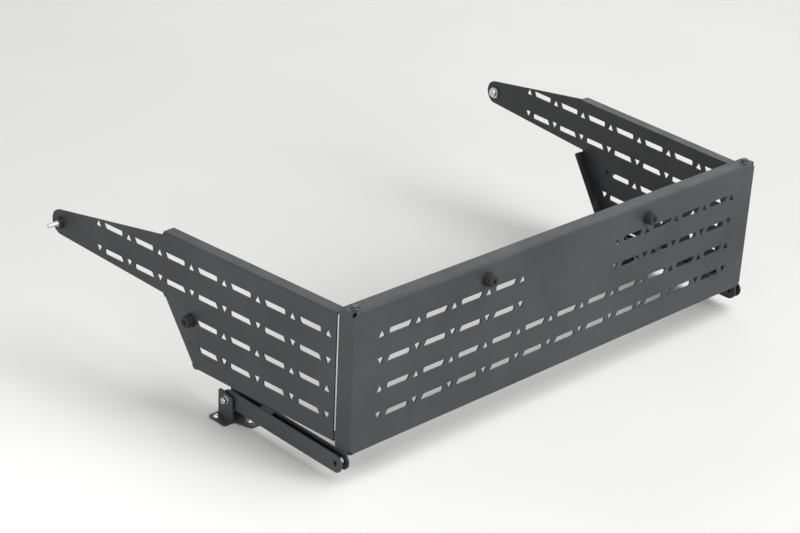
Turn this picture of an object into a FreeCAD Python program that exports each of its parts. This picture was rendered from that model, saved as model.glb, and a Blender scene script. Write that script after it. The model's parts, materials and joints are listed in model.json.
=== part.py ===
"""Flip-over tailgate extender: a perforated rear panel and two side panels that
pivot on the bed walls, resting on two arms that are pinned to the tailgate.

Working axes, in millimetres: X to the right seen from behind, Y forward from the
outer face of the rear panel, Z up from the tailgate under the bracket feet. The
finished pieces are moved so that the origin is the bottom centre of the whole.
"""
import FreeCAD, Part
import math
import os

Vector = FreeCAD.Vector
X_AXIS = Vector(1, 0, 0)
Y_AXIS = Vector(0, 1, 0)
Z_AXIS = Vector(0, 0, 1)

# Folded sheet
SHEET = 3.0
BEND_INSIDE = 1.0

# Perforation, shared by the three panels
HOLE_SPACING = 90.0
ROWS = 4
ROW_SPACING = 55.4
SLOT_LENGTH = 56.5
SLOT_HEIGHT = 12.2
SLOT_SLANT = 6.5
SLOT_CORNER = 3.8
SLOT_POINT = 0.6
TRIANGLE_BASE = 17.0
TRIANGLE_HEIGHT = 15.5
TRIANGLE_CORNER = 1.5

# Rear panel
REAR_WIDTH = 1130.0
REAR_HEIGHT = 287.0
REAR_FLANGE = 33.0
REAR_SIDE_FLANGE = 37.0
REAR_COLUMNS = 12
BARE_ROWS = 2
END_COLUMNS = 5
CORNER_RELIEF = 7.0
FLANGE_CORNER = 6.0

# Side panels, measured along the panel from the rear edge of its web
TOE_ANGLE = 4.13
SIDE_INSET = 14.0
SIDE_FLANGE = 27.0
SIDE_END_MARGIN = 19.5
EDGE_GAP = 4.0
TOP_FLANGE_LENGTH = 458.5
TAPER_START = 465.5
TAPER_DROP = 8.5
LOWER_EDGE_END = 373.0
BROW_START = 460.5
BROW_HEIGHT = 130.0
BROW_FLANGE = 22.0
BROW_RELIEF = 9.0
PIVOT_DISTANCE = 768.0
PIVOT_HEIGHT = 173.0
NOSE_RADIUS = 27.0
LONG_COLUMNS = 8
SHORT_COLUMNS = 4

# Corner joints between the panels
CORNER_BOLT_Y = 16.0
LUG_RADIUS = 10.0
LUG_CLEARANCE = 5.0
WEB_OFFSET = 18.3
CORNER_SPACER_RADIUS = 8.0

# Metric fasteners: radii of shanks, holes and heads, and widths across flats
M8_SHANK = 4.0
M8_HOLE = 4.2
M8_FLANGE = 9.0
M8_FLANGE_THICKNESS = 1.8
M8_HEX_ACROSS = 13.0
M8_HEAD_HEIGHT = 6.5
M8_NUT_HEIGHT = 7.0
M8_SOCKET_HEAD = 6.5
M8_SOCKET_HEIGHT = 8.0
M8_SOCKET_ACROSS = 6.0
M8_SOCKET_DEPTH = 4.0
M8_WASHER = 8.0
M8_WASHER_THICKNESS = 1.6
M5_SHANK = 2.5
M5_HOLE = 2.7
M5_SOCKET_HEAD = 4.25
M5_SOCKET_HEIGHT = 5.0
M5_SOCKET_ACROSS = 4.0
M5_SOCKET_DEPTH = 2.5
M5_NUT_ACROSS = 8.0
M5_NUT_HEIGHT = 4.0
THREAD_PAST_NUT = 2.0

# Rubber bump stops
BUMP_BASE = 14.0
BUMP_BASE_THICKNESS = 3.0
BUMP_SHOULDER = 12.8
BUMP_END = 8.5
BUMP_LENGTH = 17.0
BUMP_RECESS = 4.8
BUMP_RECESS_DEPTH = 8.0
BUMP_X = 227.0
BUMP_OFFSET = -5.0
SIDE_BUMP_COLUMN = 4
SIDE_BUMP_ROW = 2

# Front pivots: shoulder bolts with a threaded end
PIVOT_SHOULDER = 6.0
PIVOT_RUNNING_CLEARANCE = 0.05
PIVOT_BUSH_RADIUS = 9.0
PIVOT_BUSH_LENGTH = 7.0
PIVOT_SIDE_GAP = 0.3
PIVOT_WASHER = 13.0
PIVOT_WASHER_THICKNESS = 2.5
PIVOT_HEAD_ACROSS = 18.0
PIVOT_HEAD_HEIGHT = 7.0
PIVOT_SPACER = 12.0
PIVOT_SPACER_LENGTH = 6.0
PIVOT_THREAD = 5.0
PIVOT_THREAD_LENGTH = 22.0
PIVOT_WASHER_HOLE = 6.2

# Support arms and the brackets that hold them on the tailgate
ARM_TOP = 63.0
REST_GAP = 0.3
ARM_HEIGHT = 36.0
ARM_WIDTH = 20.0
ARM_WALL = 3.0
ARM_REAR_SETBACK = 4.0
ARM_EYE = 5.5
ARM_PIVOT_Y = 324.0
ARM_BOLT_CLEARANCE = 2.0
BRIDGE_LENGTH = 34.0
BRIDGE_FROM_PIVOT = 84.0
BRIDGE_DROP = 1.0
BRACKET_PLATE = 4.0
THRUST_WASHER_THICKNESS = 3.0
EAR_WIDTH = 42.0
EAR_BEHIND_PIVOT = 18.0
EAR_ABOVE_PIVOT = 16.0
EAR_TOP_SLOPE = 6.0
EAR_CORNER = 5.0
FOOT_OUTER_TAB = 19.0
FOOT_INNER_TAB = 10.0
FOOT_FRONT = 32.0
TONGUE_REACH = 56.0
TONGUE_WIDTH = 26.0
FOOT_CORNER = 6.0
FOOT_HOLE = 3.3
OUTER_FOOT_HOLE_AHEAD = 17.0
OUTER_FOOT_HOLE_OUT = 9.5
TONGUE_HOLE_IN = 12.0

# Sizes that follow from the ones above
BEND_OUTSIDE = BEND_INSIDE + SHEET
REAR_BOTTOM = ARM_TOP + REST_GAP
REAR_TOP = REAR_BOTTOM + REAR_HEIGHT
SIDE_BOTTOM = REAR_BOTTOM + SIDE_INSET
SIDE_TOP = REAR_TOP - SIDE_INSET
CORNER_BOLT_X = REAR_WIDTH / 2 - SHEET - LUG_RADIUS - LUG_CLEARANCE
TOE_SINE = math.sin(math.radians(TOE_ANGLE))
TOE_COSINE = math.cos(math.radians(TOE_ANGLE))
WEB_REAR = REAR_SIDE_FLANGE + EDGE_GAP - CORNER_BOLT_Y + WEB_OFFSET * TOE_SINE
ARM_INNER_X = CORNER_BOLT_X + M8_FLANGE + ARM_BOLT_CLEARANCE
ARM_OUTER_X = ARM_INNER_X + ARM_WIDTH
ARM_CENTRE_Z = ARM_TOP - ARM_HEIGHT / 2
INNER_EAR_X = ARM_INNER_X - THRUST_WASHER_THICKNESS - BRACKET_PLATE
OUTER_EAR_X = ARM_OUTER_X + THRUST_WASHER_THICKNESS


def row_height(row):
    """Height of a row's centre line; the rows are centred in the rear panel."""
    return (REAR_BOTTOM + REAR_TOP) / 2 + ((ROWS - 1) / 2 - row) * ROW_SPACING


def block(x_low, x_high, y_low, y_high, z_low, z_high):
    """Plain block between two corners."""
    corner = Vector(x_low, y_low, z_low)
    return Part.makeBox(x_high - x_low, y_high - y_low, z_high - z_low, corner)


def rod(start, direction, radius, length):
    """Solid round bar from a point along a direction."""
    return Part.makeCylinder(radius, length, start, direction)


def ring(start, direction, radius, hole, length):
    """Round washer, spacer or bush."""
    solid = rod(start, direction, radius, length)
    return solid.cut(rod(start, direction, hole, length))


def hexagon(start, direction, across, length):
    """Hexagonal prism from a point along a direction, given its width across flats."""
    side = X_AXIS if abs(direction.x) < 0.5 else Y_AXIS
    other = direction.cross(side)
    reach = across / math.sqrt(3)
    points = []
    for step in range(7):
        angle = math.radians(60 * step)
        points.append(start + side * (reach * math.cos(angle)) + other * (reach * math.sin(angle)))
    return Part.Face(Part.makePolygon(points)).extrude(direction * length)


def rounded_wire(corners, to_space):
    """Closed outline through flat corners (a, b, radius), rounded at each corner."""
    edges = []
    first_point = None
    last_point = None
    count = len(corners)
    for index, (a, b, radius) in enumerate(corners):
        corner = Vector(a, b, 0)
        before = Vector(corners[index - 1][0], corners[index - 1][1], 0) - corner
        after = Vector(corners[(index + 1) % count][0], corners[(index + 1) % count][1], 0) - corner
        before.normalize()
        after.normalize()
        entry = corner
        leave = corner
        if radius > 0:
            half_angle = before.getAngle(after) / 2
            trim = radius / math.tan(half_angle)
            bisector = (before + after).normalize()
            nearest = radius / math.sin(half_angle) - radius
            entry = corner + before * trim
            leave = corner + after * trim
        if last_point is not None:
            edges.append(Part.makeLine(to_space(last_point), to_space(entry)))
        if radius > 0:
            middle = corner + bisector * nearest
            edges.append(Part.Arc(to_space(entry), to_space(middle), to_space(leave)).toShape())
        if first_point is None:
            first_point = entry
        last_point = leave
    edges.append(Part.makeLine(to_space(last_point), to_space(first_point)))
    return Part.Wire(edges)


def plate(corners, to_space, thickness_vector):
    """Flat plate with a rounded outline."""
    return Part.Face(rounded_wire(corners, to_space)).extrude(thickness_vector)


def mirrored(shape):
    """The same piece for the other side of the vehicle."""
    return shape.mirror(Vector(0, 0, 0), X_AXIS)


def flipped_height(shape):
    """The same piece at the lower corner of the panels."""
    return shape.mirror(Vector(0, 0, (REAR_BOTTOM + REAR_TOP) / 2), Z_AXIS)


def slot_corners():
    """Slot with a slanted end that rises to a sharp point, centred at half its height."""
    left = (SLOT_SLANT / 2 - SLOT_LENGTH) / 2
    right = left + SLOT_LENGTH
    height = SLOT_HEIGHT / 2
    return [(left, -height, SLOT_CORNER), (right - SLOT_SLANT, -height, SLOT_CORNER),
            (right, height, SLOT_POINT), (left, height, SLOT_CORNER)]


def triangle_corners():
    """Upright triangle with small rounded corners."""
    half_base = TRIANGLE_BASE / 2
    height = TRIANGLE_HEIGHT / 2
    return [(-half_base, -height, TRIANGLE_CORNER), (half_base, -height, TRIANGLE_CORNER),
            (0, height, TRIANGLE_CORNER)]


def row_cutters(row, slots, triangles, to_space, depth_vector):
    """Cutters for one row; each second row is the same row turned half round."""
    turn = 1 if row % 2 == 0 else -1
    cutters = []
    for corners, places in ((slot_corners(), slots), (triangle_corners(), triangles)):
        for place in places:
            moved = [(place + turn * a, row_height(row) + turn * b, r) for a, b, r in corners]
            cutters.append(plate(moved, to_space, depth_vector))
    return cutters


def rear_perforation():
    """Cutters of the rear panel; the middle of the upper rows stays bare."""
    cutters = []
    for row in range(ROWS):
        first = (1 - REAR_COLUMNS) / 2
        triangles = [(first + column) * HOLE_SPACING for column in range(REAR_COLUMNS)]
        slots = [place + HOLE_SPACING / 2 for place in triangles[:-1]]
        if row < BARE_ROWS:
            triangles = triangles[:END_COLUMNS] + triangles[-END_COLUMNS:]
            slots = slots[:END_COLUMNS - 1] + slots[1 - END_COLUMNS:]
        to_space = lambda point: Vector(point.x, -SHEET, point.y)
        cutters += row_cutters(row, slots, triangles, to_space, Y_AXIS * (3 * SHEET))
    return cutters


def side_column(column):
    """Distance of a triangle column from the corner bolt, counted from the rear."""
    return WEB_REAR + SIDE_END_MARGIN + column * HOLE_SPACING


def side_perforation():
    """Cutters of a side panel; the lower rows stop at the angled front edge."""
    cutters = []
    for row in range(ROWS):
        slot_count = LONG_COLUMNS - 1 if row < BARE_ROWS else SHORT_COLUMNS
        triangle_count = LONG_COLUMNS if row < BARE_ROWS else SHORT_COLUMNS
        if row == ROWS - 1:
            triangle_count += 1
        slots = [side_column(column + 0.5) for column in range(slot_count)]
        triangles = [side_column(column) for column in range(triangle_count)]
        to_space = lambda point: Vector(-WEB_OFFSET - SHEET, point.x, point.y)
        cutters += row_cutters(row, slots, triangles, to_space, X_AXIS * (3 * SHEET))
    return cutters


def rim_edges(solid, y):
    """Edges around the face of a block that lies at one Y."""
    return [edge for edge in solid.Edges
            if abs(edge.BoundBox.YMin - y) < 1e-6 and abs(edge.BoundBox.YMax - y) < 1e-6]


def rear_panel():
    """Pan folded forward on all four sides, with relieved corners."""
    half = REAR_WIDTH / 2
    outside = block(-half, half, 0, REAR_SIDE_FLANGE, REAR_BOTTOM, REAR_TOP)
    outside = outside.makeFillet(BEND_OUTSIDE, rim_edges(outside, 0))
    inside = block(-half + SHEET, half - SHEET, SHEET, 2 * REAR_SIDE_FLANGE,
                   REAR_BOTTOM + SHEET, REAR_TOP - SHEET)
    inside = inside.makeFillet(BEND_INSIDE, rim_edges(inside, SHEET))
    panel = outside.cut(inside)
    cutters = rear_perforation()
    cutters.append(block(-half + SHEET, half - SHEET, REAR_FLANGE, 2 * REAR_SIDE_FLANGE,
                         REAR_BOTTOM - SHEET, REAR_TOP + SHEET))
    for side in (-1, 1):
        for level, up in ((REAR_BOTTOM, 1), (REAR_TOP, -1)):
            cutters += corner_reliefs(side, level, up)
            bolt = Vector(side * CORNER_BOLT_X, CORNER_BOLT_Y, level - SHEET)
            cutters.append(rod(bolt, Z_AXIS, M8_HOLE, 2 * SHEET))
    for x, z in rear_bump_places():
        cutters.append(rod(Vector(x, -SHEET, z), Y_AXIS, M5_HOLE, 3 * SHEET))
    return panel.cut(cutters)


def corner_reliefs(side, level, up):
    """Round relief in the folded corner and the open seam between two flanges."""
    edge = side * REAR_WIDTH / 2
    centre = Vector(edge - side * BEND_OUTSIDE / 2, -SHEET, level + up * BEND_OUTSIDE / 2)
    relief = rod(centre, Y_AXIS, CORNER_RELIEF, SHEET + BEND_OUTSIDE + BEND_INSIDE)
    x_low, x_high = sorted((edge - side * 2 * SHEET, edge + side * SHEET))
    z_low, z_high = sorted((level - up * SHEET, level + up * 2 * SHEET))
    seam_start = REAR_FLANGE - FLANGE_CORNER
    seam = block(x_low, x_high, seam_start, REAR_SIDE_FLANGE + SHEET, z_low, z_high)
    return [relief, seam]


def rear_bump_places():
    """Centres of the rear bump stops, midway between the top row and the upper bend."""
    height = (row_height(0) + REAR_TOP - BEND_OUTSIDE) / 2
    return [(BUMP_OFFSET - BUMP_X, height), (BUMP_OFFSET + BUMP_X, height)]


def tangent_point(start, centre, radius, turn):
    """Point where a line from start touches a circle, on the side given by turn."""
    to_centre = centre - start
    angle = math.asin(radius / to_centre.Length)
    length = math.sqrt(to_centre.Length ** 2 - radius ** 2)
    heading = math.atan2(to_centre.y, to_centre.x) + turn * angle
    return start + Vector(math.cos(heading), math.sin(heading), 0) * length


def web_face():
    """Flat web of a side panel: full depth behind, tapering to a rounded nose."""
    lower = SIDE_BOTTOM + BEND_OUTSIDE
    upper = SIDE_TOP - BEND_OUTSIDE
    taper = Vector(WEB_REAR + TAPER_START, SIDE_TOP - TAPER_DROP, 0)
    brow = Vector(WEB_REAR + BROW_START, SIDE_BOTTOM + BROW_HEIGHT, 0)
    pivot = Vector(WEB_REAR + PIVOT_DISTANCE, SIDE_BOTTOM + PIVOT_HEIGHT, 0)
    upper_touch = tangent_point(taper, pivot, NOSE_RADIUS, 1)
    lower_touch = tangent_point(brow, pivot, NOSE_RADIUS, -1)
    tip = pivot + ((upper_touch - pivot) + (lower_touch - pivot)).normalize() * NOSE_RADIUS
    to_space = lambda point: Vector(-WEB_OFFSET, point.x, point.y)
    line = [Vector(WEB_REAR, lower, 0), Vector(WEB_REAR, upper, 0),
            Vector(WEB_REAR + TOP_FLANGE_LENGTH, upper, 0), taper, upper_touch]
    edges = [Part.makeLine(to_space(a), to_space(b)) for a, b in zip(line, line[1:])]
    edges.append(Part.Arc(to_space(upper_touch), to_space(tip), to_space(lower_touch)).toShape())
    line = [lower_touch, brow, Vector(WEB_REAR + LOWER_EDGE_END, SIDE_BOTTOM, 0)]
    line += [Vector(WEB_REAR + LOWER_EDGE_END - BROW_RELIEF, SIDE_BOTTOM, 0)]
    line += [Vector(WEB_REAR + LOWER_EDGE_END - BROW_RELIEF, lower, 0), Vector(WEB_REAR, lower, 0)]
    edges += [Part.makeLine(to_space(a), to_space(b)) for a, b in zip(line, line[1:])]
    return Part.Face(Part.Wire(edges))


def folded_strip(width, length):
    """Flange folded inward (+X) from a web whose outer face is at X 0, rising to Z 0."""
    turn = math.sqrt(0.5)
    outer_centre = Vector(BEND_OUTSIDE, 0, -BEND_OUTSIDE)
    outer_middle = outer_centre + Vector(-BEND_OUTSIDE * turn, 0, BEND_OUTSIDE * turn)
    inner_middle = outer_centre + Vector(-BEND_INSIDE * turn, 0, BEND_INSIDE * turn)
    start = Vector(0, 0, -BEND_OUTSIDE)
    edges = [Part.Arc(start, outer_middle, Vector(BEND_OUTSIDE, 0, 0)).toShape(),
             Part.makeLine(Vector(BEND_OUTSIDE, 0, 0), Vector(width, 0, 0)),
             Part.makeLine(Vector(width, 0, 0), Vector(width, 0, -SHEET)),
             Part.makeLine(Vector(width, 0, -SHEET), Vector(BEND_OUTSIDE, 0, -SHEET)),
             Part.Arc(Vector(BEND_OUTSIDE, 0, -SHEET), inner_middle,
                      Vector(SHEET, 0, -BEND_OUTSIDE)).toShape(),
             Part.makeLine(Vector(SHEET, 0, -BEND_OUTSIDE), start)]
    return Part.Face(Part.Wire(edges)).extrude(Y_AXIS * length)


def lug(height):
    """Round-ended tab of a side flange that takes the corner bolt."""
    tab = block(-LUG_RADIUS, LUG_RADIUS, 0, WEB_REAR + BEND_OUTSIDE, height, height + SHEET)
    return tab.fuse(rod(Vector(0, 0, height), Z_AXIS, LUG_RADIUS, SHEET))


def brow_length():
    """Length of the flange on the angled front edge."""
    return math.hypot(BROW_START - LOWER_EDGE_END, BROW_HEIGHT) - 2 * BROW_RELIEF


def along_brow(shape):
    """Turn a piece made along +Y so that it runs down the angled front edge."""
    slope = math.atan2(BROW_HEIGHT, BROW_START - LOWER_EDGE_END)
    back = BROW_RELIEF * math.cos(slope)
    down = BROW_RELIEF * math.sin(slope)
    placed = shape.copy()
    placed.rotate(Vector(0, 0, 0), X_AXIS, math.degrees(slope) + 180)
    placed.translate(Vector(-WEB_OFFSET, WEB_REAR + BROW_START - back,
                            SIDE_BOTTOM + BROW_HEIGHT - down))
    return placed


def side_panel():
    """Left side panel with its rear corner bolt on the Z axis, before it is turned."""
    web = web_face().extrude(X_AXIS * SHEET)
    bend_room = block(-SHEET, 2 * SHEET, 0, brow_length(), -BEND_OUTSIDE, SHEET)
    web = web.cut(along_brow(bend_room))
    brow = along_brow(folded_strip(BROW_FLANGE, brow_length()))
    top = folded_strip(SIDE_FLANGE, TOP_FLANGE_LENGTH)
    top.translate(Vector(-WEB_OFFSET, WEB_REAR, SIDE_TOP))
    bottom = folded_strip(SIDE_FLANGE, LOWER_EDGE_END - BROW_RELIEF).mirror(Vector(0, 0, 0), Z_AXIS)
    bottom.translate(Vector(-WEB_OFFSET, WEB_REAR, SIDE_BOTTOM))
    panel = web.fuse([top, bottom, brow, lug(SIDE_TOP - SHEET), lug(SIDE_BOTTOM)])
    cutters = side_perforation()
    for level in (SIDE_BOTTOM, SIDE_TOP - SHEET):
        cutters.append(rod(Vector(0, 0, level - SHEET), Z_AXIS, M8_HOLE, 3 * SHEET))
    cutters.append(rod(side_bump_place() - X_AXIS * SHEET, X_AXIS, M5_HOLE, 3 * SHEET))
    return panel.cut(cutters).removeSplitter()


def side_bump_place():
    """Centre of a side panel's bump stop on the outer face of the web."""
    return Vector(-WEB_OFFSET, side_column(SIDE_BUMP_COLUMN), row_height(SIDE_BUMP_ROW))


def toe_out(shape):
    """Turn a left side piece about the corner bolts and move it to its place."""
    placed = shape.copy()
    placed.rotate(Vector(0, 0, 0), Z_AXIS, TOE_ANGLE)
    placed.translate(Vector(-CORNER_BOLT_X, CORNER_BOLT_Y, 0))
    return placed


def pivot_centre():
    """Centre of the left front pivot, in the middle of the side panel's sheet."""
    x = SHEET / 2 - WEB_OFFSET
    y = WEB_REAR + PIVOT_DISTANCE
    return Vector(x * TOE_COSINE - y * TOE_SINE - CORNER_BOLT_X,
                  x * TOE_SINE + y * TOE_COSINE + CORNER_BOLT_Y,
                  SIDE_BOTTOM + PIVOT_HEIGHT)


def placed_side_panel():
    """Left side panel in place, with the hole for its pivot bush."""
    reach = X_AXIS * PIVOT_BUSH_LENGTH
    hole = rod(pivot_centre() - reach, X_AXIS, PIVOT_BUSH_RADIUS, 2 * PIVOT_BUSH_LENGTH)
    return toe_out(side_panel()).cut(hole)


def corner_hardware():
    """Bolt, nut and spacer at the upper left corner."""
    top = Vector(-CORNER_BOLT_X, CORNER_BOLT_Y, REAR_TOP)
    down = Z_AXIS * -1
    spacer_length = SIDE_INSET - SHEET
    grip = SHEET + spacer_length + SHEET
    head = rod(top, Z_AXIS, M8_FLANGE, M8_FLANGE_THICKNESS)
    head = head.fuse(hexagon(top, Z_AXIS, M8_HEX_ACROSS, M8_HEAD_HEIGHT))
    shank = rod(top, down, M8_SHANK, grip + M8_NUT_HEIGHT + THREAD_PAST_NUT)
    spacer = ring(top - Z_AXIS * SHEET, down, CORNER_SPACER_RADIUS, M8_HOLE, spacer_length)
    under = top - Z_AXIS * grip
    nut = hexagon(under, down, M8_HEX_ACROSS, M8_NUT_HEIGHT)
    nut = nut.fuse(rod(under, down, M8_WASHER, M8_FLANGE_THICKNESS))
    nut = nut.cut(rod(under, down, M8_SHANK, M8_NUT_HEIGHT))
    return head.fuse(shank), spacer, nut


def all_corners(shape):
    """One piece repeated at the four corners."""
    pair = [shape, mirrored(shape)]
    return pair + [flipped_height(piece) for piece in pair]


def bump_stop(place, outward):
    """Rubber stop with a base rim and a recessed screw, and the nut behind the sheet."""
    inward = outward * -1
    seat = BUMP_LENGTH - BUMP_RECESS_DEPTH
    head_seat = place + outward * seat
    body = rod(place, outward, BUMP_BASE, BUMP_BASE_THICKNESS)
    rim_top = place + outward * BUMP_BASE_THICKNESS
    body = body.fuse(Part.makeCone(BUMP_SHOULDER, BUMP_END, BUMP_LENGTH - BUMP_BASE_THICKNESS,
                                   rim_top, outward))
    body = body.cut(rod(head_seat, outward, BUMP_RECESS, BUMP_RECESS_DEPTH))
    body = body.cut(rod(place, outward, M5_HOLE, seat))
    screw = rod(head_seat, outward, M5_SOCKET_HEAD, M5_SOCKET_HEIGHT)
    socket_floor = head_seat + outward * (M5_SOCKET_HEIGHT - M5_SOCKET_DEPTH)
    screw = screw.cut(hexagon(socket_floor, outward, M5_SOCKET_ACROSS, M5_SOCKET_DEPTH))
    reach = seat + SHEET + M5_NUT_HEIGHT + THREAD_PAST_NUT
    screw = screw.fuse(rod(head_seat, inward, M5_SHANK, reach))
    behind = place + inward * SHEET
    nut = hexagon(behind, inward, M5_NUT_ACROSS, M5_NUT_HEIGHT)
    nut = nut.cut(rod(behind, inward, M5_SHANK, M5_NUT_HEIGHT))
    return body, screw, nut


def front_pivot():
    """Bush in the panel, and the bolt, washer and wall spacer it turns on."""
    centre = pivot_centre()
    inner = centre + X_AXIS * (PIVOT_BUSH_LENGTH / 2)
    outer = centre - X_AXIS * (PIVOT_BUSH_LENGTH / 2)
    out = X_AXIS * -1
    bore = PIVOT_SHOULDER + PIVOT_RUNNING_CLEARANCE
    bush = ring(inner, out, PIVOT_BUSH_RADIUS, bore, PIVOT_BUSH_LENGTH)
    washer_start = inner + X_AXIS * PIVOT_SIDE_GAP
    washer = ring(washer_start, X_AXIS, PIVOT_WASHER, PIVOT_WASHER_HOLE, PIVOT_WASHER_THICKNESS)
    spacer_start = outer - X_AXIS * PIVOT_SIDE_GAP
    spacer = ring(spacer_start, out, PIVOT_SPACER, PIVOT_WASHER_HOLE, PIVOT_SPACER_LENGTH)
    head_start = washer_start + X_AXIS * PIVOT_WASHER_THICKNESS
    thread_start = spacer_start - X_AXIS * PIVOT_SPACER_LENGTH
    head = hexagon(head_start, X_AXIS, PIVOT_HEAD_ACROSS, PIVOT_HEAD_HEIGHT)
    shoulder = rod(thread_start, X_AXIS, PIVOT_SHOULDER, (head_start - thread_start).Length)
    thread = rod(thread_start, out, PIVOT_THREAD, PIVOT_THREAD_LENGTH)
    bolt = head.fuse([shoulder, thread])
    return bush, washer, spacer, bolt


def arm_outline():
    """Side view of a support arm: a bar with two half-round ends."""
    radius = ARM_HEIGHT / 2
    front = ARM_PIVOT_Y
    rear = ARM_REAR_SETBACK + radius
    bar = block(0, ARM_WIDTH, rear, front, ARM_CENTRE_Z - radius, ARM_TOP)
    for y in (rear, front):
        bar = bar.fuse(rod(Vector(0, y, ARM_CENTRE_Z), X_AXIS, radius, ARM_WIDTH))
    return bar


def support_arm():
    """Left support arm: open-topped channel with an eye at its rear end."""
    radius = ARM_HEIGHT / 2
    rear = ARM_REAR_SETBACK + radius
    ends = ARM_PIVOT_Y + ARM_HEIGHT
    hollow = block(ARM_WALL, ARM_WIDTH - ARM_WALL, rear, ARM_PIVOT_Y,
                   ARM_CENTRE_Z - radius + ARM_WALL, ARM_TOP + ARM_WALL)
    rear_mouth = block(ARM_WALL, ARM_WIDTH - ARM_WALL, 0, rear, 0, ARM_TOP)
    front_mouth = block(ARM_WALL, ARM_WIDTH - ARM_WALL, ARM_PIVOT_Y, ends, 0, ARM_TOP)
    eye = rod(Vector(0, rear, ARM_CENTRE_Z), X_AXIS, ARM_EYE, ARM_WIDTH)
    pivot = rod(Vector(0, ARM_PIVOT_Y, ARM_CENTRE_Z), X_AXIS, M8_HOLE, ARM_WIDTH)
    arm = arm_outline().cut([hollow, rear_mouth, front_mouth, eye, pivot]).removeSplitter()
    arm.translate(Vector(-ARM_OUTER_X, 0, 0))
    return arm


def bridge_plate():
    """Short plate across the open top of the left arm."""
    rear = ARM_PIVOT_Y - BRIDGE_FROM_PIVOT - BRIDGE_LENGTH
    top = ARM_TOP - BRIDGE_DROP
    return block(-ARM_OUTER_X + ARM_WALL, -ARM_INNER_X - ARM_WALL, rear, rear + BRIDGE_LENGTH,
                 top - ARM_WALL, top)


def foot_holes():
    """Centres of the two bolts that hold the left bracket on the tailgate."""
    outer = Vector(-OUTER_EAR_X - BRACKET_PLATE - OUTER_FOOT_HOLE_OUT,
                   ARM_PIVOT_Y + OUTER_FOOT_HOLE_AHEAD, 0)
    tongue = Vector(-(ARM_INNER_X + ARM_OUTER_X) / 2 + TONGUE_HOLE_IN,
                    ARM_PIVOT_Y - TONGUE_REACH + TONGUE_HOLE_IN + FOOT_CORNER, 0)
    return [outer, tongue]


def tailgate_bracket():
    """Left bracket: foot plate with a rearward tongue and two upright ears."""
    rear = ARM_PIVOT_Y - EAR_BEHIND_PIVOT
    front = ARM_PIVOT_Y + FOOT_FRONT
    outer = -OUTER_EAR_X - FOOT_OUTER_TAB - BRACKET_PLATE
    inner = -INNER_EAR_X + FOOT_INNER_TAB
    tongue_rear = ARM_PIVOT_Y - TONGUE_REACH
    tongue_outer = inner - TONGUE_WIDTH
    outline = [(outer, rear, FOOT_CORNER), (tongue_outer - TONGUE_WIDTH / 2, rear, 0),
               (tongue_outer, tongue_rear, FOOT_CORNER), (inner, tongue_rear, FOOT_CORNER),
               (inner, front, FOOT_CORNER), (outer, front, FOOT_CORNER)]
    to_space = lambda point: Vector(point.x, point.y, 0)
    bracket = plate(outline, to_space, Z_AXIS * BRACKET_PLATE)
    top = ARM_CENTRE_Z + EAR_ABOVE_PIVOT
    ear = [(rear, 0, 0), (rear + EAR_WIDTH, 0, 0), (rear + EAR_WIDTH, top, EAR_CORNER),
           (rear, top - EAR_TOP_SLOPE, EAR_CORNER)]
    for x in (-OUTER_EAR_X - BRACKET_PLATE, -INNER_EAR_X - BRACKET_PLATE):
        to_space = lambda point, x=x: Vector(x, point.x, point.y)
        bracket = bracket.fuse(plate(ear, to_space, X_AXIS * BRACKET_PLATE))
    bolt = rod(Vector(outer, ARM_PIVOT_Y, ARM_CENTRE_Z), X_AXIS, M8_HOLE, inner - outer)
    holes = [rod(place, Z_AXIS, FOOT_HOLE, BRACKET_PLATE) for place in foot_holes()]
    return bracket.cut(holes + [bolt]).removeSplitter()


def arm_pivot():
    """Socket-head bolt, washer, nut and the two thrust washers of the left arm."""
    y, z = ARM_PIVOT_Y, ARM_CENTRE_Z
    out = X_AXIS * -1
    outer = Vector(-OUTER_EAR_X - BRACKET_PLATE, y, z)
    inner = Vector(-INNER_EAR_X, y, z)
    washer = ring(outer, out, M8_WASHER, M8_HOLE, M8_WASHER_THICKNESS)
    head_start = outer + out * M8_WASHER_THICKNESS
    head = rod(head_start, out, M8_SOCKET_HEAD, M8_SOCKET_HEIGHT)
    socket_floor = head_start + out * (M8_SOCKET_HEIGHT - M8_SOCKET_DEPTH)
    head = head.cut(hexagon(socket_floor, out, M8_SOCKET_ACROSS, M8_SOCKET_DEPTH))
    length = (inner - head_start).Length + M8_NUT_HEIGHT + THREAD_PAST_NUT
    bolt = head.fuse(rod(head_start, X_AXIS, M8_SHANK, length))
    nut = hexagon(inner, X_AXIS, M8_HEX_ACROSS, M8_NUT_HEIGHT)
    nut = nut.cut(rod(inner, X_AXIS, M8_SHANK, M8_NUT_HEIGHT))
    thrust = []
    for x in (-OUTER_EAR_X, -ARM_INNER_X):
        thrust.append(ring(Vector(x, y, z), X_AXIS, M8_WASHER, M8_HOLE, THRUST_WASHER_THICKNESS))
    return bolt, washer, nut, thrust


def both_sides(pieces):
    """Pieces of the left side followed by their mirror images."""
    return Part.makeCompound(pieces + [mirrored(piece) for piece in pieces])


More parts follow.
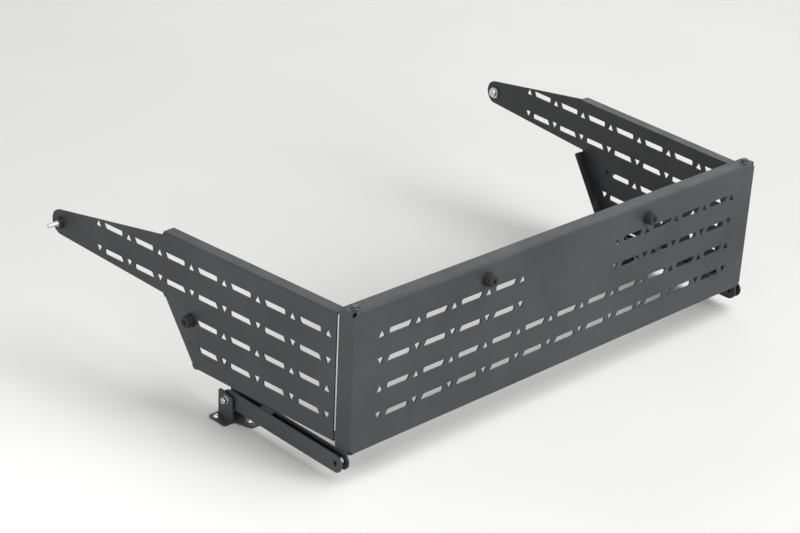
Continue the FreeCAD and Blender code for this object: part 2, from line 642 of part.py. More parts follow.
def basket_nodes():
    """Pieces that flip over together."""
    left_panel = placed_side_panel()
    bolt, spacer, nut = corner_hardware()
    rear_stops = [bump_stop(Vector(x, 0, z), Y_AXIS * -1) for x, z in rear_bump_places()]
    side_stop = [toe_out(piece) for piece in bump_stop(side_bump_place(), X_AXIS * -1)]
    side_stops = [side_stop, [mirrored(piece) for piece in side_stop]]
    stops = rear_stops + side_stops
    bush = front_pivot()[0]
    return {
        "rear_panel": rear_panel(),
        "side_panel_left": left_panel,
        "side_panel_right": mirrored(left_panel),
        "corner_bolts": Part.makeCompound(all_corners(bolt)),
        "corner_spacers": Part.makeCompound(all_corners(spacer)),
        "corner_nuts": Part.makeCompound(all_corners(nut)),
        "bump_stops_rear": Part.makeCompound([stop[0] for stop in rear_stops]),
        "bump_stops_side": Part.makeCompound([stop[0] for stop in side_stops]),
        "bump_stop_screws": Part.makeCompound([stop[1] for stop in stops]),
        "bump_stop_nuts": Part.makeCompound([stop[2] for stop in stops]),
        "pivot_bushes": both_sides([bush]),
    }


def vehicle_side_nodes():
    """Pieces that stay on the bed walls and on the tailgate."""
    washer, spacer, bolt = front_pivot()[1:]
    arm = support_arm()
    bracket = tailgate_bracket()
    arm_bolt, arm_washer, arm_nut, thrust = arm_pivot()
    return {
        "pivot_bolt_left": bolt,
        "pivot_bolt_right": mirrored(bolt),
        "pivot_washers": both_sides([washer]),
        "pivot_wall_spacers": both_sides([spacer]),
        "support_arm_left": arm,
        "support_arm_right": mirrored(arm),
        "arm_bridge_plates": both_sides([bridge_plate()]),
        "tailgate_bracket_left": bracket,
        "tailgate_bracket_right": mirrored(bracket),
        "arm_pivot_bolts": both_sides([arm_bolt]),
        "arm_pivot_washers": both_sides([arm_washer]),
        "arm_pivot_nuts": both_sides([arm_nut]),
        "arm_thrust_washers": both_sides(thrust),
    }


def depth_middle():
    """Halfway between the ends of the rear bump stops and the noses of the side panels."""
    nose = WEB_REAR + PIVOT_DISTANCE + NOSE_RADIUS
    inner_face = WEB_OFFSET - SHEET
    front = CORNER_BOLT_Y + nose * TOE_COSINE - inner_face * TOE_SINE
    return (front - BUMP_LENGTH) / 2


def main():
    os.makedirs("parts", exist_ok=True)
    nodes = basket_nodes()
    nodes.update(vehicle_side_nodes())
    for name, shape in nodes.items():
        shape.translate(Vector(0, -depth_middle(), 0))
        shape.exportStep("parts/" + name + ".step")
        print(name, shape.isValid(), len(shape.Solids), round(shape.Volume))
    pivot = pivot_centre() - Vector(0, depth_middle(), 0)
    print("front pivot", pivot.x, pivot.y, pivot.z)
    for place in foot_holes():
        print("foot hole", place.x, place.y - depth_middle())


main()
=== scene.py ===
"""Finishes, turned hardware and studio stage for a flip-over tailgate extender.

Every length is in metres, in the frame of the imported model: X to the right seen
from behind, Y forward, Z up, with the bracket feet at Z 0.
"""

import json
import math

import bpy
from mathutils import Matrix, Vector


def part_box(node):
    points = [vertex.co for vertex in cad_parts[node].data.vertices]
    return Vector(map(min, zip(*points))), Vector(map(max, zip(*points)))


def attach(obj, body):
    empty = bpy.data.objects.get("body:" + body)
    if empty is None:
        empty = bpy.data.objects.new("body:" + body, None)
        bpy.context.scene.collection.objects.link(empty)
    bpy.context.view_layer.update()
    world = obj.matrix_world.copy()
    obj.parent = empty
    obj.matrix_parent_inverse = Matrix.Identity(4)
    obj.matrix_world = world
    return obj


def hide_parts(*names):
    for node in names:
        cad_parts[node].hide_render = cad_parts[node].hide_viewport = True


bl_info = {
    "name": "Tailgate extender",
    "version": (1, 0, 0),
    "blender": (4, 5, 0),
    "location": "View3D > Sidebar > Extender",
    "description": "Finishes, turned hardware and studio stage for a tailgate extender",
    "category": "Object",
}

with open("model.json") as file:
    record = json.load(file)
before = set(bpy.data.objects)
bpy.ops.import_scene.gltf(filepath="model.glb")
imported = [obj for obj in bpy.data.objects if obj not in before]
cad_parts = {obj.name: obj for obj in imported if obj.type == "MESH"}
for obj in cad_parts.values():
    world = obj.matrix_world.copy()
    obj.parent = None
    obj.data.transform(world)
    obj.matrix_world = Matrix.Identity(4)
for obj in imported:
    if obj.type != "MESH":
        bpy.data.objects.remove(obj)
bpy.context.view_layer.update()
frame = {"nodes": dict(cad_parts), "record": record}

MM = 0.001
SEGMENTS = 48
CORNER_FLANGE = 9.0 * MM
CORNER_HEAD = 6.5 * MM
STOP_BASE = 14.0 * MM
PACKED_STOP_END = 8.5 * MM
STOP_LENGTH = 17.0 * MM
STAGE_CENTRE = (0.0, 0.0, 0.2)

POWDER_NODES = ("rear_panel", "side_panel_left", "side_panel_right",
                "support_arm_left", "support_arm_right", "arm_bridge_plates",
                "tailgate_bracket_left", "tailgate_bracket_right")
ZINC_NODES = ("pivot_bushes", "pivot_washers", "arm_pivot_washers", "arm_pivot_nuts",
              "arm_pivot_bolts", "pivot_bolt_left", "pivot_bolt_right")
OXIDE_NODES = ("bump_stop_nuts", "bump_stop_screws", "corner_nuts", "corner_bolts")
NYLON_NODES = ("corner_spacers", "pivot_wall_spacers", "arm_thrust_washers")
RUBBER_NODES = ("bump_stops_rear", "bump_stops_side")


def linear_colour(hex_text):
    """Linear RGBA of an sRGB colour such as 3a3b3d."""
    channels = []
    for start in (0, 2, 4):
        value = int(hex_text[start:start + 2], 16) / 255
        channels.append(value / 12.92 if value <= 0.04045 else ((value + 0.055) / 1.055) ** 2.4)
    return tuple(channels) + (1.0,)


# Settings

class ExtenderFinish(bpy.types.PropertyGroup):
    """Colours and grain of the finishes."""

    powder_colour: bpy.props.FloatVectorProperty(
        name="Powder coat", description="Colour of the coated sheet steel",
        subtype="COLOR", size=4, min=0, max=1, default=linear_colour("313234"))
    powder_worn: bpy.props.FloatVectorProperty(
        name="Powder coat, dusty", description="Colour of the coat where fine dust lies on it",
        subtype="COLOR", size=4, min=0, max=1, default=linear_colour("3e3f41"))
    powder_roughness: bpy.props.FloatProperty(
        name="Powder roughness", description="Mean roughness of the coat",
        min=0, max=1, default=0.46)
    powder_grain: bpy.props.FloatProperty(
        name="Powder grain", description="Size of the fine texture of the coat",
        unit="LENGTH", min=0, default=1.1 * MM)
    zinc_colour: bpy.props.FloatVectorProperty(
        name="Zinc plate", description="Colour of the plated bolts, nuts and washers",
        subtype="COLOR", size=4, min=0, max=1, default=linear_colour("d2d4d8"))
    oxide_colour: bpy.props.FloatVectorProperty(
        name="Black oxide", description="Colour of the blackened bolts and nuts",
        subtype="COLOR", size=4, min=0, max=1, default=linear_colour("3f3f40"))
    rubber_colour: bpy.props.FloatVectorProperty(
        name="Rubber", description="Colour of the moulded stops",
        subtype="COLOR", size=4, min=0, max=1, default=linear_colour("1e1e1f"))
    nylon_colour: bpy.props.FloatVectorProperty(
        name="Nylon", description="Colour of the spacers and thrust washers",
        subtype="COLOR", size=4, min=0, max=1, default=linear_colour("222223"))


class ExtenderHardware(bpy.types.PropertyGroup):
    """Sizes of the turned hardware."""

    thread_pitch: bpy.props.FloatProperty(
        name="Thread pitch", description="Pitch of the threaded pivot ends",
        unit="LENGTH", min=0.1 * MM, default=1.5 * MM)
    thread_depth: bpy.props.FloatProperty(
        name="Thread depth", description="Depth of the thread below the shank's radius",
        unit="LENGTH", min=0, default=0.85 * MM)
    foot_head_radius: bpy.props.FloatProperty(
        name="Foot bolt head", description="Radius of the button heads on the bracket feet",
        unit="LENGTH", min=0, default=5.3 * MM)
    foot_washer_radius: bpy.props.FloatProperty(
        name="Foot washer", description="Radius of the washers on the bracket feet",
        unit="LENGTH", min=0, default=6.4 * MM)
    brow_top: bpy.props.FloatVectorProperty(
        name="Brow, upper end", description="Upper end of the left panel's angled front edge",
        subtype="TRANSLATION", unit="LENGTH", size=3, default=(-0.60031, 0.09170, 0.2073))
    brow_low: bpy.props.FloatVectorProperty(
        name="Brow, lower end", description="Lower end of the left panel's angled front edge",
        subtype="TRANSLATION", unit="LENGTH", size=3, default=(-0.59401, 0.00442, 0.0773))
    brow_width: bpy.props.FloatProperty(
        name="Brow flange", description="Width of the flange on the angled front edge",
        unit="LENGTH", min=0, default=30.0 * MM)
    brow_setback: bpy.props.FloatProperty(
        name="Brow setback", description="How far the flange stops short of the edge's ends",
        unit="LENGTH", min=0, default=3.5 * MM)
    toe_angle: bpy.props.FloatProperty(
        name="Toe angle", description="How far each side panel is turned out from straight ahead",
        subtype="ANGLE", unit="ROTATION", default=math.radians(4.13))


class ExtenderStage(bpy.types.PropertyGroup):
    """Camera, lights and floor."""

    floor_colour: bpy.props.FloatVectorProperty(
        name="Floor", description="Colour of the plain floor",
        subtype="COLOR", size=4, min=0, max=1, default=linear_colour("e4e4e2"))
    camera_place: bpy.props.FloatVectorProperty(
        name="Camera place", description="Where the camera stands",
        subtype="TRANSLATION", unit="LENGTH", size=3, default=(-2.5943, -2.5940, 1.8681))
    camera_azimuth: bpy.props.FloatProperty(
        name="Camera azimuth", description="Viewing direction, from straight ahead to the right",
        subtype="ANGLE", unit="ROTATION", default=math.radians(44.33))
    camera_elevation: bpy.props.FloatProperty(
        name="Camera elevation", description="How far the camera looks down",
        subtype="ANGLE", unit="ROTATION", default=math.radians(25.505))
    camera_roll: bpy.props.FloatProperty(
        name="Camera roll", description="Tilt of the camera about its own axis",
        subtype="ANGLE", unit="ROTATION", default=math.radians(2.80))
    lens: bpy.props.FloatProperty(
        name="Lens", description="Focal length in millimetres on a 36 mm wide sensor",
        min=1, default=87.27)
    key_power: bpy.props.FloatProperty(
        name="Key light", description="Power of the softbox behind the rear panel",
        unit="POWER", min=0, default=260)
    rim_power: bpy.props.FloatProperty(
        name="Rim light", description="Power of the softbox in front, on the right",
        unit="POWER", min=0, default=10)
    side_power: bpy.props.FloatProperty(
        name="Side light", description="Power of the small softbox near the left panel",
        unit="POWER", min=0, default=16)
    ceiling_level: bpy.props.FloatProperty(
        name="Ceiling", description="Strength of the even light from the ceiling",
        min=0, default=1.85)
    world_level: bpy.props.FloatProperty(
        name="Surround", description="Level of the even light from all round",
        min=0, default=0.15)


# Node and mesh helpers

def add_node(tree, kind, inputs=None, **settings):
    """Adds a shader node; inputs maps socket names to values or to other sockets."""
    node = tree.nodes.new(kind)
    for name, value in settings.items():
        setattr(node, name, value)
    for name, value in (inputs or {}).items():
        if isinstance(value, bpy.types.NodeSocket):
            tree.links.new(value, node.inputs[name])
        else:
            node.inputs[name].default_value = value
    return node


def new_material(name):
    """Empty material with its node tree and surface shader."""
    material = bpy.data.materials.new(name)
    material.use_nodes = True
    tree = material.node_tree
    tree.nodes.clear()
    shader = add_node(tree, "ShaderNodeBsdfPrincipled")
    add_node(tree, "ShaderNodeOutputMaterial", {"Surface": shader.outputs["BSDF"]})
    place = add_node(tree, "ShaderNodeTexCoord").outputs["Object"]
    return material, tree, shader, place


def noise(tree, place, feature, detail=2.0):
    """Noise whose blotches are about one feature length across."""
    node = add_node(tree, "ShaderNodeTexNoise",
                    {"Vector": place, "Scale": 1.0 / feature, "Detail": detail})
    return node.outputs["Fac"]


def ranged(tree, value, low, high):
    """A noise value spread over a range."""
    node = add_node(tree, "ShaderNodeMapRange",
                    {"Value": value, "From Min": 0.3, "From Max": 0.7,
                     "To Min": low, "To Max": high})
    return node.outputs["Result"]


def mixed(tree, factor, first, second):
    """Colour between two others."""
    node = add_node(tree, "ShaderNodeMix", data_type="RGBA")
    tree.links.new(factor, node.inputs[0])
    node.inputs[6].default_value = first
    node.inputs[7].default_value = second
    return node.outputs[2]


def soft_edges(tree, height, depth, edge_radius):
    """Normal from a bump of real depth, with sharp edges rounded by a small radius."""
    edge = add_node(tree, "ShaderNodeBevel", {"Radius": edge_radius}, samples=4)
    bump = add_node(tree, "ShaderNodeBump",
                    {"Strength": 1.0, "Distance": depth, "Height": height,
                     "Normal": edge.outputs["Normal"]})
    return bump.outputs["Normal"]


def powder_coat(settings):
    """Black fine-textured powder coat on steel, with a trace of dust."""
    material, tree, shader, place = new_material("black powder coat on steel")
    dust = ranged(tree, noise(tree, place, 0.16, 4.0), 0.0, 1.0)
    colour = mixed(tree, dust, settings.powder_colour, settings.powder_worn)
    tree.links.new(colour, shader.inputs["Base Color"])
    patches = noise(tree, place, 0.05)
    shader.inputs["Specular IOR Level"].default_value = 0.3
    roughness = ranged(tree, patches, settings.powder_roughness - 0.05,
                       settings.powder_roughness + 0.06)
    tree.links.new(roughness, shader.inputs["Roughness"])
    grain = noise(tree, place, settings.powder_grain, 3.0)
    tree.links.new(soft_edges(tree, grain, 0.05 * MM, 0.6 * MM), shader.inputs["Normal"])
    return material


def zinc_plate(settings):
    """Bright zinc plate with faint clouding."""
    material, tree, shader, place = new_material("zinc-plated steel")
    shader.inputs["Metallic"].default_value = 1.0
    clouds = noise(tree, place, 5 * MM, 3.0)
    dull = tuple(0.8 * channel for channel in settings.zinc_colour[:3]) + (1.0,)
    tree.links.new(mixed(tree, clouds, settings.zinc_colour, dull), shader.inputs["Base Color"])
    tree.links.new(ranged(tree, clouds, 0.24, 0.4), shader.inputs["Roughness"])
    scratches = noise(tree, place, 0.8 * MM, 2.0)
    tree.links.new(soft_edges(tree, scratches, 0.02 * MM, 0.4 * MM), shader.inputs["Normal"])
    return material


def black_oxide(settings):
    """Thin black oxide on steel, worn a little paler in places."""
    material, tree, shader, place = new_material("black oxide on steel")
    shader.inputs["Metallic"].default_value = 0.8
    wear = ranged(tree, noise(tree, place, 3 * MM, 4.0), 0.0, 1.0)
    pale = tuple(2.2 * channel for channel in settings.oxide_colour[:3]) + (1.0,)
    tree.links.new(mixed(tree, wear, settings.oxide_colour, pale), shader.inputs["Base Color"])
    tree.links.new(ranged(tree, wear, 0.34, 0.48), shader.inputs["Roughness"])
    pits = noise(tree, place, 0.6 * MM, 2.0)
    tree.links.new(soft_edges(tree, pits, 0.02 * MM, 0.4 * MM), shader.inputs["Normal"])
    return material


def moulded(name, colour, roughness, grain):
    """Dark moulded rubber or nylon with a fine matt skin."""
    material, tree, shader, place = new_material(name)
    shader.inputs["Specular IOR Level"].default_value = 0.35
    pale = tuple(1.5 * channel for channel in colour[:3]) + (1.0,)
    bloom = ranged(tree, noise(tree, place, 12 * MM, 3.0), 0.0, 1.0)
    tree.links.new(mixed(tree, bloom, colour, pale), shader.inputs["Base Color"])
    tree.links.new(ranged(tree, bloom, roughness - 0.05, roughness + 0.08),
                   shader.inputs["Roughness"])
    skin = noise(tree, place, grain, 2.0)
    tree.links.new(soft_edges(tree, skin, 0.04 * MM, 0.5 * MM), shader.inputs["Normal"])
    return material


def finish(name):
    """A finish by its name, made once and shared."""
    settings = bpy.context.scene.extender_finish
    makers = {
        "black powder coat on steel": lambda: powder_coat(settings),
        "zinc-plated steel": lambda: zinc_plate(settings),
        "black oxide on steel": lambda: black_oxide(settings),
        "natural rubber, black": lambda: moulded("natural rubber, black",
                                                 settings.rubber_colour, 0.72, 0.9 * MM),
        "nylon, black": lambda: moulded("nylon, black", settings.nylon_colour, 0.5, 0.7 * MM),
    }
    return bpy.data.materials.get(name) or makers[name]()


def coat(nodes, finish_name):
    """Gives CAD nodes a finish."""
    material = finish(finish_name)
    for node in nodes:
        slots = frame["nodes"][node].material_slots
        if not slots:
            raise RuntimeError("no material slot on " + node)
        for entry in slots:
            entry.material = material


def hexagon_radius(across, angle):
    """Distance from the axis to a hexagon's side, given its width across flats."""
    turn = (angle % (math.pi / 3)) - math.pi / 6
    return across / 2 / math.cos(turn)


def turned(rows, place, direction, thread=None):
    """Vertices and faces of a turned piece along a direction from a place.

    Each row is (height, radius, across): the piece is round with that radius, and
    also cut to a hexagon where across is given. thread is (low, high, pitch, depth).
    """
    axis = Vector(direction).normalized()
    turn = Vector((0, 0, 1)).rotation_difference(axis).to_matrix()
    points = []
    for height, radius, across in rows:
        for step in range(SEGMENTS):
            angle = 2 * math.pi * step / SEGMENTS
            reach = radius
            if across:
                reach = min(reach, hexagon_radius(across, angle))
            if thread and thread[0] <= height <= thread[1]:
                phase = (height / thread[2] - step / SEGMENTS) % 1.0
                reach -= thread[3] * abs(2 * phase - 1)
            local = Vector((reach * math.cos(angle), reach * math.sin(angle), height))
            points.append(turn @ local + Vector(place))
    faces = []
    for row in range(len(rows) - 1):
        for step in range(SEGMENTS):
            following = (step + 1) % SEGMENTS
            base = row * SEGMENTS
            faces.append((base + step, base + following,
                          base + SEGMENTS + following, base + SEGMENTS + step))
    faces.append(tuple(reversed(range(SEGMENTS))))
    faces.append(tuple(range((len(rows) - 1) * SEGMENTS, len(rows) * SEGMENTS)))
    return points, faces


def prism(outline, place, across, along, depth):
    """Vertices and faces of a flat outline (a, b) given a depth."""
    count = len(outline)
    flat = [place + across * a + along * b for a, b in outline]
    points = flat + [point + depth for point in flat]
    faces = [tuple(reversed(range(count))), tuple(range(count, 2 * count))]
    for index in range(count):
        following = (index + 1) % count
        faces.append((index, following, count + following, count + index))
    return points, faces


def build_piece(name, bodies, finish_name, ride_on):
    """One mesh object from several bodies, riding on a CAD body."""
    points = []
    faces = []
    for body_points, body_faces in bodies:
        offset = len(points)
        points += body_points
        faces += [tuple(index + offset for index in face) for face in body_faces]
    mesh = bpy.data.meshes.new(name)
    mesh.from_pydata([tuple(point) for point in points], [], faces)
    mesh.polygons.foreach_set("use_smooth", [True] * len(mesh.polygons))
    mesh.set_sharp_from_angle(angle=math.radians(32))
    mesh.materials.append(finish(finish_name))
    piece = bpy.data.objects.new(name, mesh)
    bpy.context.scene.collection.objects.link(piece)
    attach(piece, ride_on)
    return piece


def body_of(node):
    """Name of the CAD body that holds a node."""
    for body, nodes in frame["record"]["behaviour"]["bodies"].items():
        if node in nodes:
            return body
    raise RuntimeError("no body holds " + node)


def flange_head(place, direction):
    """Hexagon flange head of an M8 bolt."""
    rows = [(0.0, CORNER_FLANGE, None), (0.7 * MM, CORNER_FLANGE, None), (1.6 * MM, 8.2 * MM, None),
            (1.9 * MM, 7.5 * MM, None), (2.0 * MM, 7.5 * MM, 13.0 * MM),
            (6.2 * MM, 7.5 * MM, 13.0 * MM), (6.9 * MM, 6.4 * MM, 13.0 * MM),
            (6.9 * MM, 5.2 * MM, None), (6.5 * MM, 4.9 * MM, None)]
    return turned(rows, place, direction)


def stop_rows():
    """Section of a rubber stop from its base rim to its recess."""
    return [(0.0, STOP_BASE - 0.3 * MM, None), (0.4 * MM, STOP_BASE, None), (2.4 * MM, STOP_BASE, None),
            (3.0 * MM, 13.4 * MM, None), (3.0 * MM, 11.8 * MM, None),
            (3.9 * MM, 11.8 * MM, None), (4.0 * MM, 13.1 * MM, None),
            (15.0 * MM, 11.4 * MM, None), (16.4 * MM, 10.9 * MM, None),
            (STOP_LENGTH, 9.9 * MM, None), (STOP_LENGTH, 5.8 * MM, None),
            (16.6 * MM, 5.1 * MM, None), (9.0 * MM, 4.8 * MM, None)]


def softbox(name, place, aim, width, height, power):
    """Rectangular area light that faces a point."""
    light = bpy.data.lights.new(name, "AREA")
    light.shape = "RECTANGLE"
    light.size = width
    light.size_y = height
    light.energy = power
    lamp = bpy.data.objects.new(name, light)
    lamp.location = place
    lamp.rotation_euler = (Vector(aim) - Vector(place)).to_track_quat("-Z", "Y").to_euler()
    bpy.context.scene.collection.objects.link(lamp)


# Operators

class EXTENDER_OT_finishes(bpy.types.Operator):
    """Give every CAD node its finish"""

    bl_idname = "extender.finishes"
    bl_label = "Finishes"

    def execute(self, context):
        coat(POWDER_NODES, "black powder coat on steel")
        coat(ZINC_NODES, "zinc-plated steel")
        coat(OXIDE_NODES, "black oxide on steel")
        coat(NYLON_NODES, "nylon, black")
        coat(RUBBER_NODES, "natural rubber, black")
        return {"FINISHED"}


class EXTENDER_OT_corner_bolts(bpy.types.Operator):
    """Add the flange bolts at the four panel corners"""

    bl_idname = "extender.corner_bolts"
    bl_label = "Corner bolts"

    def execute(self, context):
        low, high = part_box("corner_bolts")
        y = (low[1] + high[1]) / 2
        bodies = []
        for x in (low[0] + CORNER_FLANGE, high[0] - CORNER_FLANGE):
            for z, up in ((low[2] + CORNER_HEAD, -1), (high[2] - CORNER_HEAD, 1)):
                bodies.append(flange_head((x, y, z), (0, 0, up)))
                shank = [(0.0, 4.0 * MM, None), (23.8 * MM, 4.0 * MM, None),
                         (24.5 * MM, 3.3 * MM, None)]
                bodies.append(turned(shank, (x, y, z), (0, 0, -up)))
        piece = build_piece("corner_flange_bolts", bodies, "black oxide on steel",
                            body_of("corner_bolts"))
        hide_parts("corner_bolts")
        return {"FINISHED"}


class EXTENDER_OT_bump_stops(bpy.types.Operator):
    """Add the moulded rubber stops and their recessed screws"""

    bl_idname = "extender.bump_stops"
    bl_label = "Bump stops"

    def execute(self, context):
        low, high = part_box("bump_stops_rear")
        middle = (low[2] + high[2]) / 2
        rear = [((low[0] + STOP_BASE, high[1], middle), (0, -1, 0)),
                ((high[0] - STOP_BASE, high[1], middle), (0, -1, 0))]
        side = self.side_places()
        stops = {"bump_stops_rear": rear, "bump_stops_side": side}
        for node, places in stops.items():
            bodies = [turned(stop_rows(), place, outward) for place, outward in places]
            piece = build_piece("moulded_" + node, bodies, "natural rubber, black",
                                body_of(node))
            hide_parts(node)
        screws = [self.screw(place, outward) for place, outward in rear + side]
        piece = build_piece("stop_screws", screws, "black oxide on steel",
                            body_of("bump_stop_screws"))
        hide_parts("bump_stop_screws")
        return {"FINISHED"}

    def side_places(self):
        """Base centre and outward direction of the stop on each side panel."""
        toe = bpy.context.scene.extender_hardware.toe_angle
        low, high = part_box("bump_stops_side")
        reach = STOP_LENGTH * math.cos(toe) + PACKED_STOP_END * math.sin(toe)
        y = (low[1] + high[1]) / 2
        z = (low[2] + high[2]) / 2
        places = []
        for side in (-1, 1):
            x = side * (high[0] - reach)
            places.append(((x, y, z), (side * math.cos(toe), -math.sin(toe), 0)))
        return places

    def screw(self, place, outward):
        """Socket-head screw seated in the recess of a stop."""
        rows = [(-9.0 * MM, 2.0 * MM, None), (-8.4 * MM, 2.5 * MM, None),
                (9.0 * MM, 2.5 * MM, None), (9.0 * MM, 4.25 * MM, None),
                (13.6 * MM, 4.25 * MM, None), (14.0 * MM, 3.8 * MM, None),
                (14.0 * MM, 2.5 * MM, None), (13.8 * MM, 2.4 * MM, 4.0 * MM),
                (11.5 * MM, 2.4 * MM, 4.0 * MM)]
        return turned(rows, place, outward)


class EXTENDER_OT_pivot_bolts(bpy.types.Operator):
    """Add the shoulder bolts of the front pivots, with their threads"""

    bl_idname = "extender.pivot_bolts"
    bl_label = "Pivot bolts"

    def execute(self, context):
        hardware = context.scene.extender_hardware
        for side, node in ((-1, "pivot_bolt_left"), (1, "pivot_bolt_right")):
            low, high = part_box(node)
            y = (low[1] + high[1]) / 2
            z = (low[2] + high[2]) / 2
            length = high[0] - low[0]
            inner = min(abs(low[0]), abs(high[0]))
            place = (side * inner, y, z)
            rows = self.section(length, hardware)
            thread = (length - 21.0 * MM, length - 1.0 * MM,
                      hardware.thread_pitch, hardware.thread_depth)
            body = turned(rows, place, (side, 0, 0), thread)
            piece = build_piece("shoulder_" + node, [body], "zinc-plated steel",
                                body_of(node))
            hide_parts(node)
        return {"FINISHED"}

    def section(self, length, hardware):
        """Rows from the head's inner face to the threaded end."""
        across = 18.0 * MM
        head = 7.0 * MM
        thread_start = length - 22.0 * MM
        rows = [(0.4 * MM, 5.0 * MM, None), (0.0, 6.0 * MM, None), (0.0, 8.6 * MM, None),
                (0.8 * MM, 10.0 * MM, across), (head, 10.4 * MM, across),
                (head, 6.0 * MM, None), (thread_start, 6.0 * MM, None),
                (thread_start, 4.3 * MM, None), (thread_start + 0.9 * MM, 4.3 * MM, None)]
        step = hardware.thread_pitch / 8
        height = thread_start + 1.0 * MM
        while height < length - 1.0 * MM:
            rows.append((height, 5.0 * MM, None))
            height += step
        rows.append((length, 4.0 * MM, None))
        return rows


class EXTENDER_OT_arm_bolts(bpy.types.Operator):
    """Add the socket-head bolts that hold the arms in their brackets"""

    bl_idname = "extender.arm_bolts"
    bl_label = "Arm bolts"

    def execute(self, context):
        low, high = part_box("arm_pivot_bolts")
        y = (low[1] + high[1]) / 2
        z = (low[2] + high[2]) / 2
        bodies = []
        for side in (-1, 1):
            rows = [(4.0 * MM, 3.4 * MM, 6.0 * MM), (0.2 * MM, 3.4 * MM, 6.0 * MM),
                    (0.0, 3.9 * MM, None), (0.0, 5.8 * MM, None), (0.7 * MM, 6.5 * MM, None),
                    (8.0 * MM, 6.5 * MM, None), (8.0 * MM, 4.0 * MM, None),
                    (52.0 * MM, 4.0 * MM, None), (52.6 * MM, 3.4 * MM, None)]
            bodies.append(turned(rows, (side * high[0], y, z), (-side, 0, 0)))
        piece = build_piece("socket_head_arm_bolts", bodies, "zinc-plated steel",
                            body_of("arm_pivot_bolts"))
        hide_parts("arm_pivot_bolts")
        return {"FINISHED"}


class EXTENDER_OT_foot_bolts(bpy.types.Operator):
    """Add the bolts and washers that hold the brackets on the tailgate"""

    bl_idname = "extender.foot_bolts"
    bl_label = "Foot bolts"

    plate: bpy.props.FloatProperty(
        name="Foot plate", description="Thickness of the bracket's foot plate",
        unit="LENGTH", default=4.0 * MM)

    def execute(self, context):
        bodies = []
        low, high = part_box("tailgate_bracket_left")
        for side in (-1, 1):
            outer = (side * (abs(low[0]) - 9.5 * MM), high[1] - 15.0 * MM, self.plate)
            tongue = (side * (abs(high[0]) + 15.0 * MM), low[1] + 18.0 * MM, self.plate)
            for place in (outer, tongue):
                bodies += self.bolt(place, context.scene.extender_hardware)
        build_piece("foot_bolts", bodies, "zinc-plated steel",
                    body_of("tailgate_bracket_left"))
        return {"FINISHED"}

    def bolt(self, place, hardware):
        """Washer and button head on the foot plate."""
        washer = hardware.foot_washer_radius
        head = hardware.foot_head_radius
        washer_rows = [(0.0, washer, None), (1.0 * MM, washer, None),
                       (1.2 * MM, washer - 0.3 * MM, None)]
        head_rows = [(1.2 * MM, head, None), (2.2 * MM, head, None),
                     (3.6 * MM, 0.84 * head, None), (4.3 * MM, 0.6 * head, None),
                     (4.4 * MM, 2.4 * MM, 4.0 * MM), (2.8 * MM, 2.4 * MM, 4.0 * MM)]
        return [turned(washer_rows, place, (0, 0, 1)), turned(head_rows, place, (0, 0, 1))]


class EXTENDER_OT_brow_flanges(bpy.types.Operator):
    """Add the full-width flange on the angled front edge of each side panel"""

    bl_idname = "extender.brow_flanges"
    bl_label = "Brow flanges"

    def execute(self, context):
        points, faces = self.left(context.scene.extender_hardware)
        right_points = [Vector((-point.x, point.y, point.z)) for point in points]
        right_faces = [tuple(reversed(face)) for face in faces]
        build_piece("brow_flanges", [(points, faces), (right_points, right_faces)],
                    "black powder coat on steel", body_of("side_panel_left"))
        return {"FINISHED"}

    def left(self, hardware):
        """The left flange: a strip with two rounded corners, over the folded one."""
        top = Vector(hardware.brow_top)
        edge = Vector(hardware.brow_low) - top
        down = edge.normalized()
        inward = Vector((math.cos(hardware.toe_angle), math.sin(hardware.toe_angle), 0))
        behind = down.cross(inward).normalized()
        start, end = hardware.brow_setback, edge.length - hardware.brow_setback
        width, corner = hardware.brow_width, 4.0 * MM
        outline = [(3.05 * MM, start), (3.05 * MM, end)]
        for middle, first in ((end - corner, math.pi / 2), (start + corner, 0.0)):
            for step in range(7):
                turn = first - step * math.pi / 12
                outline.append((width - corner + corner * math.cos(turn),
                                middle + corner * math.sin(turn)))
        return prism(outline, top - behind * (0.05 * MM), inward, down, behind * (3.1 * MM))


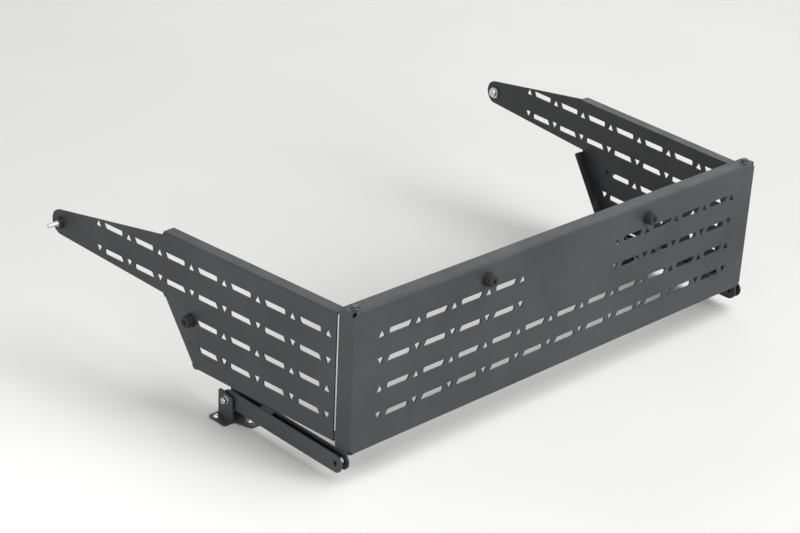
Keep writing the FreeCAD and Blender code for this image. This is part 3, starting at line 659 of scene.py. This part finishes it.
class EXTENDER_OT_stage(bpy.types.Operator):
    """Set up the floor, the surround, the lights and the camera"""

    bl_idname = "extender.stage"
    bl_label = "Stage"

    def execute(self, context):
        stage = context.scene.extender_stage
        self.floor(stage)
        self.surround(stage)
        softbox("key_softbox", (1.4, -5.4, 2.9), STAGE_CENTRE, 3.6, 2.4, stage.key_power)
        softbox("rim_softbox", (2.4, 2.0, 2.0), STAGE_CENTRE, 2.2, 1.2, stage.rim_power)
        softbox("side_softbox", (-2.1, -0.5, 0.6), (-0.6, -0.1, 0.2), 1.0, 0.6, stage.side_power)
        self.ceiling(stage)
        self.camera(stage)
        context.scene.view_settings.view_transform = "Standard"
        return {"FINISHED"}

    def ceiling(self, stage):
        """Wide soft light from above, a little from behind on the right."""
        light = bpy.data.lights.new("ceiling", "SUN")
        light.energy = stage.ceiling_level
        light.angle = math.radians(50)
        lamp = bpy.data.objects.new("ceiling", light)
        lamp.rotation_euler = Vector((-0.25, 0.3, -0.9)).to_track_quat("-Z", "Y").to_euler()
        bpy.context.scene.collection.objects.link(lamp)

    def floor(self, stage):
        """Large plain floor under the bracket feet."""
        half = 20.0
        mesh = bpy.data.meshes.new("studio_floor")
        corners = [(-half, -half, 0), (half, -half, 0), (half, half, 0), (-half, half, 0)]
        mesh.from_pydata(corners, [], [(0, 1, 2, 3)])
        material, tree, shader, place = new_material("painted studio floor")
        shade = ranged(tree, noise(tree, place, 0.6, 2.0), 0.0, 1.0)
        pale = tuple(min(1.0, 1.03 * channel) for channel in stage.floor_colour[:3]) + (1.0,)
        tree.links.new(mixed(tree, shade, stage.floor_colour, pale), shader.inputs["Base Color"])
        shader.inputs["Roughness"].default_value = 0.85
        mesh.materials.append(material)
        plane = bpy.data.objects.new("studio_floor", mesh)
        bpy.context.scene.collection.objects.link(plane)

    def surround(self, stage):
        """White to the camera and in reflections, and an even level of light besides."""
        world = bpy.data.worlds.new("studio")
        bpy.context.scene.world = world
        world.use_nodes = True
        tree = world.node_tree
        tree.nodes.clear()
        path = add_node(tree, "ShaderNodeLightPath")
        seen = path.outputs["Is Camera Ray"]
        for ray in ("Is Glossy Ray", "Is Transmission Ray"):
            seen = add_node(tree, "ShaderNodeMath", {0: seen, 1: path.outputs[ray]},
                            operation="MAXIMUM").outputs["Value"]
        fill = add_node(tree, "ShaderNodeBackground",
                        {"Color": (1, 1, 1, 1), "Strength": stage.world_level})
        white = add_node(tree, "ShaderNodeBackground",
                         {"Color": (1, 1, 1, 1), "Strength": 1.0})
        mix = add_node(tree, "ShaderNodeMixShader", {"Fac": seen})
        tree.links.new(fill.outputs["Background"], mix.inputs[1])
        tree.links.new(white.outputs["Background"], mix.inputs[2])
        add_node(tree, "ShaderNodeOutputWorld", {"Surface": mix.outputs["Shader"]})

    def camera(self, stage):
        """Camera at the photograph's place and direction."""
        data = bpy.data.cameras.new("camera")
        data.sensor_width = 36.0
        data.lens = stage.lens
        camera = bpy.data.objects.new("camera", data)
        turn = (Matrix.Rotation(-stage.camera_azimuth, 4, "Z")
                @ Matrix.Rotation(math.pi / 2 - stage.camera_elevation, 4, "X")
                @ Matrix.Rotation(stage.camera_roll, 4, "Z"))
        camera.matrix_world = Matrix.Translation(stage.camera_place) @ turn
        bpy.context.scene.collection.objects.link(camera)
        bpy.context.scene.camera = camera


# Panel and registration

class EXTENDER_PT_sidebar(bpy.types.Panel):
    """Sidebar panel with the settings and the steps in order."""

    bl_idname = "EXTENDER_PT_sidebar"
    bl_label = "Tailgate extender"
    bl_space_type = "VIEW_3D"
    bl_region_type = "UI"
    bl_category = "Extender"

    def draw(self, context):
        scene = context.scene
        for title, group in (("Finish", scene.extender_finish),
                             ("Hardware", scene.extender_hardware),
                             ("Stage", scene.extender_stage)):
            box = self.layout.box()
            box.label(text=title)
            for name in group.__annotations__:
                box.prop(group, name)
        for operator in OPERATORS:
            self.layout.operator(operator.bl_idname)


OPERATORS = (EXTENDER_OT_finishes, EXTENDER_OT_corner_bolts, EXTENDER_OT_bump_stops,
             EXTENDER_OT_pivot_bolts, EXTENDER_OT_arm_bolts, EXTENDER_OT_foot_bolts,
             EXTENDER_OT_brow_flanges, EXTENDER_OT_stage)
SETTINGS = {"extender_finish": ExtenderFinish, "extender_hardware": ExtenderHardware,
            "extender_stage": ExtenderStage}


def register():
    for name, settings in SETTINGS.items():
        bpy.utils.register_class(settings)
        setattr(bpy.types.Scene, name, bpy.props.PointerProperty(type=settings))
    for cls in OPERATORS + (EXTENDER_PT_sidebar,):
        bpy.utils.register_class(cls)


def unregister():
    for cls in reversed(OPERATORS + (EXTENDER_PT_sidebar,)):
        bpy.utils.unregister_class(cls)
    for name, settings in SETTINGS.items():
        delattr(bpy.types.Scene, name)
        bpy.utils.unregister_class(settings)


def main():
    register()
    bpy.ops.extender.finishes()
    bpy.ops.extender.corner_bolts()
    bpy.ops.extender.bump_stops()
    bpy.ops.extender.pivot_bolts()
    bpy.ops.extender.arm_bolts()
    bpy.ops.extender.foot_bolts()
    bpy.ops.extender.brow_flanges()
    bpy.ops.extender.stage()


if __name__ == "__main__":
    main()
